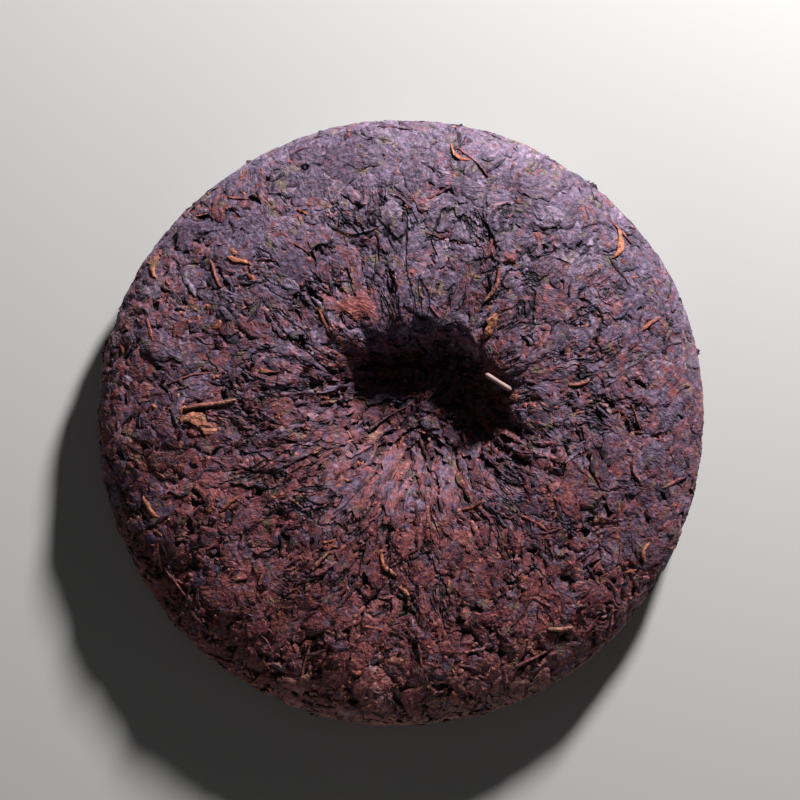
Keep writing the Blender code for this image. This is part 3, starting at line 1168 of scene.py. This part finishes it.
MARKED: tuple[MarkedLeaves, ...] = (
    MarkedLeaves("marked_stems", replace(STEM, rings=14), (
        Mark((-69.7, 4.9), (-52.6, 7.6), 1.5, Hue.BROWN, lift=1.1),
        Mark((27.9, 38.8), (32.9, 50.3), 1.4, Hue.BROWN, lift=1.1, bend=0.10),
        Mark((47.7, -66.4), (55.9, -66.4), 1.5, Hue.BROWN, lift=1.1),
    ), thickness=0.0014, seed=22),
    MarkedLeaves("marked_flakes", replace(BROAD, rings=14, around=12), (
        Mark((-70.7, 2.6), (-58.5, -2.3), 4.0, Hue.RUSSET, lift=0.9),
        Mark((26.3, 27.3), (32.2, 36.2), 2.8, Hue.RUSSET, lift=1.2),
        Mark((-20.5, 39.5), (-6.0, 34.5), 8.0, Hue.REDDISH, lift=0.7),
        Mark((16.4, -33.5), (26.0, -43.5), 4.5, Hue.REDDISH, lift=0.8),
        Mark((42.0, 65.0), (54.0, 67.5), 6.5, Hue.GREY, lift=1.1, cup=0.3),
        Mark((-73.0, 57.0), (-62.0, 66.0), 7.0, Hue.VIOLET, lift=1.1, cup=0.3, roll=0.08),
        Mark((38.0, 76.0), (53.0, 79.0), 11.0, Hue.VIOLET, lift=0.8),
        Mark((-27.0, 85.0), (-5.0, 88.0), 11.0, Hue.VIOLET, lift=0.8),
        Mark((36.0, 66.0), (59.0, 69.0), 12.0, Hue.VIOLET, lift=0.8),
        Mark((8.0, 64.0), (24.0, 73.0), 10.0, Hue.GREY, lift=0.7),
    ), thickness=0.0010, seed=23),
    MarkedLeaves("marked_buds", replace(TIP, rings=12, around=8), (
        Mark((72.3, 63.4), (69.7, 52.9), 2.2, Hue.GOLDEN, lift=1.2, bend=-0.14),
        Mark((-79.5, 55.0), (-80.0, 47.0), 2.4, Hue.RUSSET, lift=1.2, bend=0.16),
        Mark((80.0, -38.5), (78.5, -45.0), 1.7, Hue.GOLDEN, lift=1.2, bend=0.2),
        Mark((-56.0, 54.0), (-48.0, 51.0), 1.8, Hue.GOLDEN, lift=1.1),
        Mark((15.6, 90.0), (22.0, 84.0), 1.8, Hue.RUSSET, lift=1.1, bend=0.18),
        Mark((-7.0, -41.0), (-2.0, -50.0), 1.6, Hue.GOLDEN, lift=1.0, bend=0.12),
        Mark((0.5, -52.0), (3.5, -58.5), 1.5, Hue.GOLDEN, lift=1.0, bend=-0.12),
        Mark((-84.0, -24.0), (-77.5, -31.0), 1.8, Hue.GOLDEN, lift=1.0, bend=0.2),
    ), thickness=0.0013, seed=24),
)


@dataclass(frozen=True)
class JuttingStick:
    """The pale stick that lies in the lip and juts out over the hollow's steep wall."""

    root: Range = (0.0362, 0.0108)
    tip: Range = (0.0273, 0.0161)
    radius: float = 0.00085
    droop: float = 0.0004
    raised: float = 0.4  # how far its middle lies over the surface, as a share of its radius
    bluntness: float = 0.10
    knots: float = 0.08
    knot_turns: float = 9.0  # radians of the knots' wave in its length
    rings: int = 12
    around: int = 12

    def build(self, form: PressedForm) -> bpy.types.Object:
        """Makes a straight round stick from the lip outwards, blunt at both ends.

        Its rings are circles about a line. Their radius is a power of 4u(1 - u) that stays near 1,
        with a faint sine for its knots.

        Args:
            form: the pressed form.

        Returns:
            The piece.
        """
        chart = np.array(form.chart_of(*self.root))
        root, normal = (found[0] for found in form.bed(chart[:1], chart[1:], np.array([False])))
        root = root + normal * (form.skin + self.raised * self.radius)
        tip = np.array([*self.tip, root[2] - self.droop])
        share = np.linspace(0.0, 1.0, self.rings + 2)
        line = root + (tip - root) * share[:, None]
        way = (tip - root) / np.linalg.norm(tip - root)
        side = np.cross([0.0, 0.0, 1.0], way)
        side /= np.linalg.norm(side)
        up = np.cross(way, side)
        angle = TAU * np.arange(self.around) / self.around
        reach = self.radius * (4.0 * share * (1.0 - share)) ** self.bluntness
        reach *= 1.0 + self.knots * np.sin(self.knot_turns * share)
        circle = np.cos(angle)[:, None] * side + np.sin(angle)[:, None] * up
        grid = line[:, None] + reach[:, None, None] * circle[None]
        points = np.concatenate([grid[1:-1].reshape(-1, 3), line[:1], line[-1:]])
        triangles = tube_triangles(1, self.rings, self.around)
        return put_in("jutting_stick", points, triangles, {}, points[:, :2], 1.0)


@dataclass(frozen=True)
class StickFinish:
    """Bare pale stalk: pinkish buff with a fine grain."""

    name: str = "pale_stalk"
    light: Colour = (0.34, 0.215, 0.205)
    dark: Colour = (0.20, 0.115, 0.105)
    grain_scale: float = 700.0
    grain_detail: float = 3.0
    grain_depth: float = 0.0001
    roughness: float = 0.6

    def material(self) -> bpy.types.Material:
        """Makes the material: two colours mixed by a fine noise."""
        bench = Bench(self.name)
        place = bench.add("ShaderNodeTexCoord", {}, {}, "Object")
        grain = bench.noise(place, self.grain_scale, self.grain_detail)
        colour = bench.mix((*self.light, 1.0), (*self.dark, 1.0), grain)
        height = grain * self.grain_depth
        bump = bench.add("ShaderNodeBump", {}, {"Strength": 1.0, "Distance": 1.0, "Height": height})
        bench.plug(bench.shader.inputs["Base Color"], colour)
        bench.plug(bench.shader.inputs["Normal"], bump)
        bench.plug(bench.shader.inputs["Roughness"], self.roughness)
        return bench.material


# ---------------------------------------------------------------- the whole cake


@dataclass(frozen=True)
class TeaCake:
    """The cake: its core, its leaves and what stands out among them."""

    form: PressedForm
    core: Core = Core()
    core_finish: LeafFinish = LeafFinish("packed_core", mottle=0.30, shadow=0.30)
    leaf_finish: LeafFinish = LeafFinish("pressed_leaf_finish")
    stick_finish: StickFinish = StickFinish()

    def build(self) -> list[bpy.types.Object]:
        """Builds every piece, dresses it and lets it ride on the cake's body."""
        core = self._place(self.core.build(self.form), self.core_finish.material())
        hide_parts(CAKE_NODE)
        leaf = self.leaf_finish.material()
        pieces = [core]
        pieces += [self._place(kind.build(self.form), leaf) for kind in KINDS]
        pieces += [self._place(marked.build(self.form), leaf) for marked in MARKED]
        pieces.append(self._place(JuttingStick().build(self.form), self.stick_finish.material()))
        return pieces

    @staticmethod
    def _place(piece: bpy.types.Object, material: bpy.types.Material) -> bpy.types.Object:
        """Gives a piece its finish and its body, and reports it."""
        piece.data.materials.append(material)
        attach(piece, BODY)
        log.info("%s: %d triangles", piece.name, len(piece.data.polygons))
        return piece


# ---------------------------------------------------------------- studio


@dataclass(frozen=True)
class Lamp:
    """A round white lamp that looks at the cake."""

    name: str
    place: Triple
    size: float
    power: float

    def build(self, target: Triple) -> bpy.types.Object:
        """Makes the lamp, turned towards the target."""
        data = bpy.data.lights.new(self.name, "AREA")
        data.shape = "DISK"
        data.size = self.size
        data.energy = self.power
        lamp = bpy.data.objects.new(self.name, data)
        lamp.location = self.place
        aim = Vector(target) - Vector(self.place)
        lamp.rotation_euler = aim.to_track_quat("-Z", "Y").to_euler()
        bpy.context.scene.collection.objects.link(lamp)
        return lamp


@dataclass(frozen=True)
class Studio:
    """A pale floor, a low key lamp at the upper right, two weak ones, and the camera overhead."""

    key_way: Triple = (0.390, 0.837, 0.383)
    key_distance: float = 0.90
    key_size: float = 0.12
    key_power: float = 20.0
    soft_place: Triple = (-0.15, 0.35, 0.9)
    soft_size: float = 1.2
    soft_power: float = 0.15
    bounce_place: Triple = (-0.10, -0.80, 0.13)
    bounce_size: float = 0.25
    bounce_power: float = 0.7
    sky: float = 0.014
    floor_size: float = 6.0
    floor_colour: Colour = (0.56, 0.55, 0.54)
    floor_roughness: float = 0.8
    lens: float = 100.0
    sensor: float = 36.0
    cake_share: float = 0.7585  # the cake's width over the frame's
    cake_drop: float = 0.0289  # how far below the frame's middle it sits, as a share of the frame

    def build(self, form: PressedForm) -> None:
        """Makes the floor, the lamps, the world and the camera.

        Args:
            form: the pressed form, for its size.
        """
        self._floor()
        target = (0.0, 0.0, form.rim_height)
        key = tuple(self.key_distance * share for share in self.key_way)
        Lamp("key", key, self.key_size, self.key_power).build(target)
        Lamp("soft", self.soft_place, self.soft_size, self.soft_power).build(target)
        Lamp("bounce", self.bounce_place, self.bounce_size, self.bounce_power).build(target)
        world = bpy.data.worlds.new("studio")
        world.use_nodes = True
        world.node_tree.nodes["Background"].inputs["Strength"].default_value = self.sky
        world.node_tree.nodes["Background"].inputs["Color"].default_value = (1.0, 1.0, 1.0, 1.0)
        scene = bpy.context.scene
        scene.world = world
        scene.view_settings.view_transform = "Standard"
        self._camera(form)

    def _floor(self) -> None:
        """Makes the floor, which isn't part of the object."""
        half = self.floor_size / 2.0
        mesh = bpy.data.meshes.new("floor")
        corners = [(-half, -half, 0.0), (half, -half, 0.0), (half, half, 0.0), (-half, half, 0.0)]
        mesh.from_pydata(corners, [], [(0, 1, 2, 3)])
        floor = bpy.data.objects.new("floor", mesh)
        bpy.context.scene.collection.objects.link(floor)
        bench = Bench("pale_floor")
        bench.plug(bench.shader.inputs["Base Color"], (*self.floor_colour, 1.0))
        bench.plug(bench.shader.inputs["Roughness"], self.floor_roughness)
        mesh.materials.append(bench.material)

    def _camera(self, form: PressedForm) -> None:
        """Hangs the camera straight over the cake, at the height that gives the cake its share."""
        seen = 2.0 * form.radius / self.cake_share
        height = seen * self.lens / self.sensor
        data = bpy.data.cameras.new("camera")
        data.lens = self.lens
        data.sensor_width = self.sensor
        camera = bpy.data.objects.new("camera", data)
        camera.location = (0.0, self.cake_drop * seen, form.rim_height + height)
        bpy.context.scene.collection.objects.link(camera)
        bpy.context.scene.camera = camera


def main() -> None:
    """Builds the cake and its studio."""
    logging.basicConfig(level=logging.INFO, format="%(name)s: %(message)s")
    form = PressedForm()
    pieces = TeaCake(form).build()
    log.info("the cake has %d pieces", len(pieces))
    Studio().build(form)


if __name__ == "__main__":
    main()
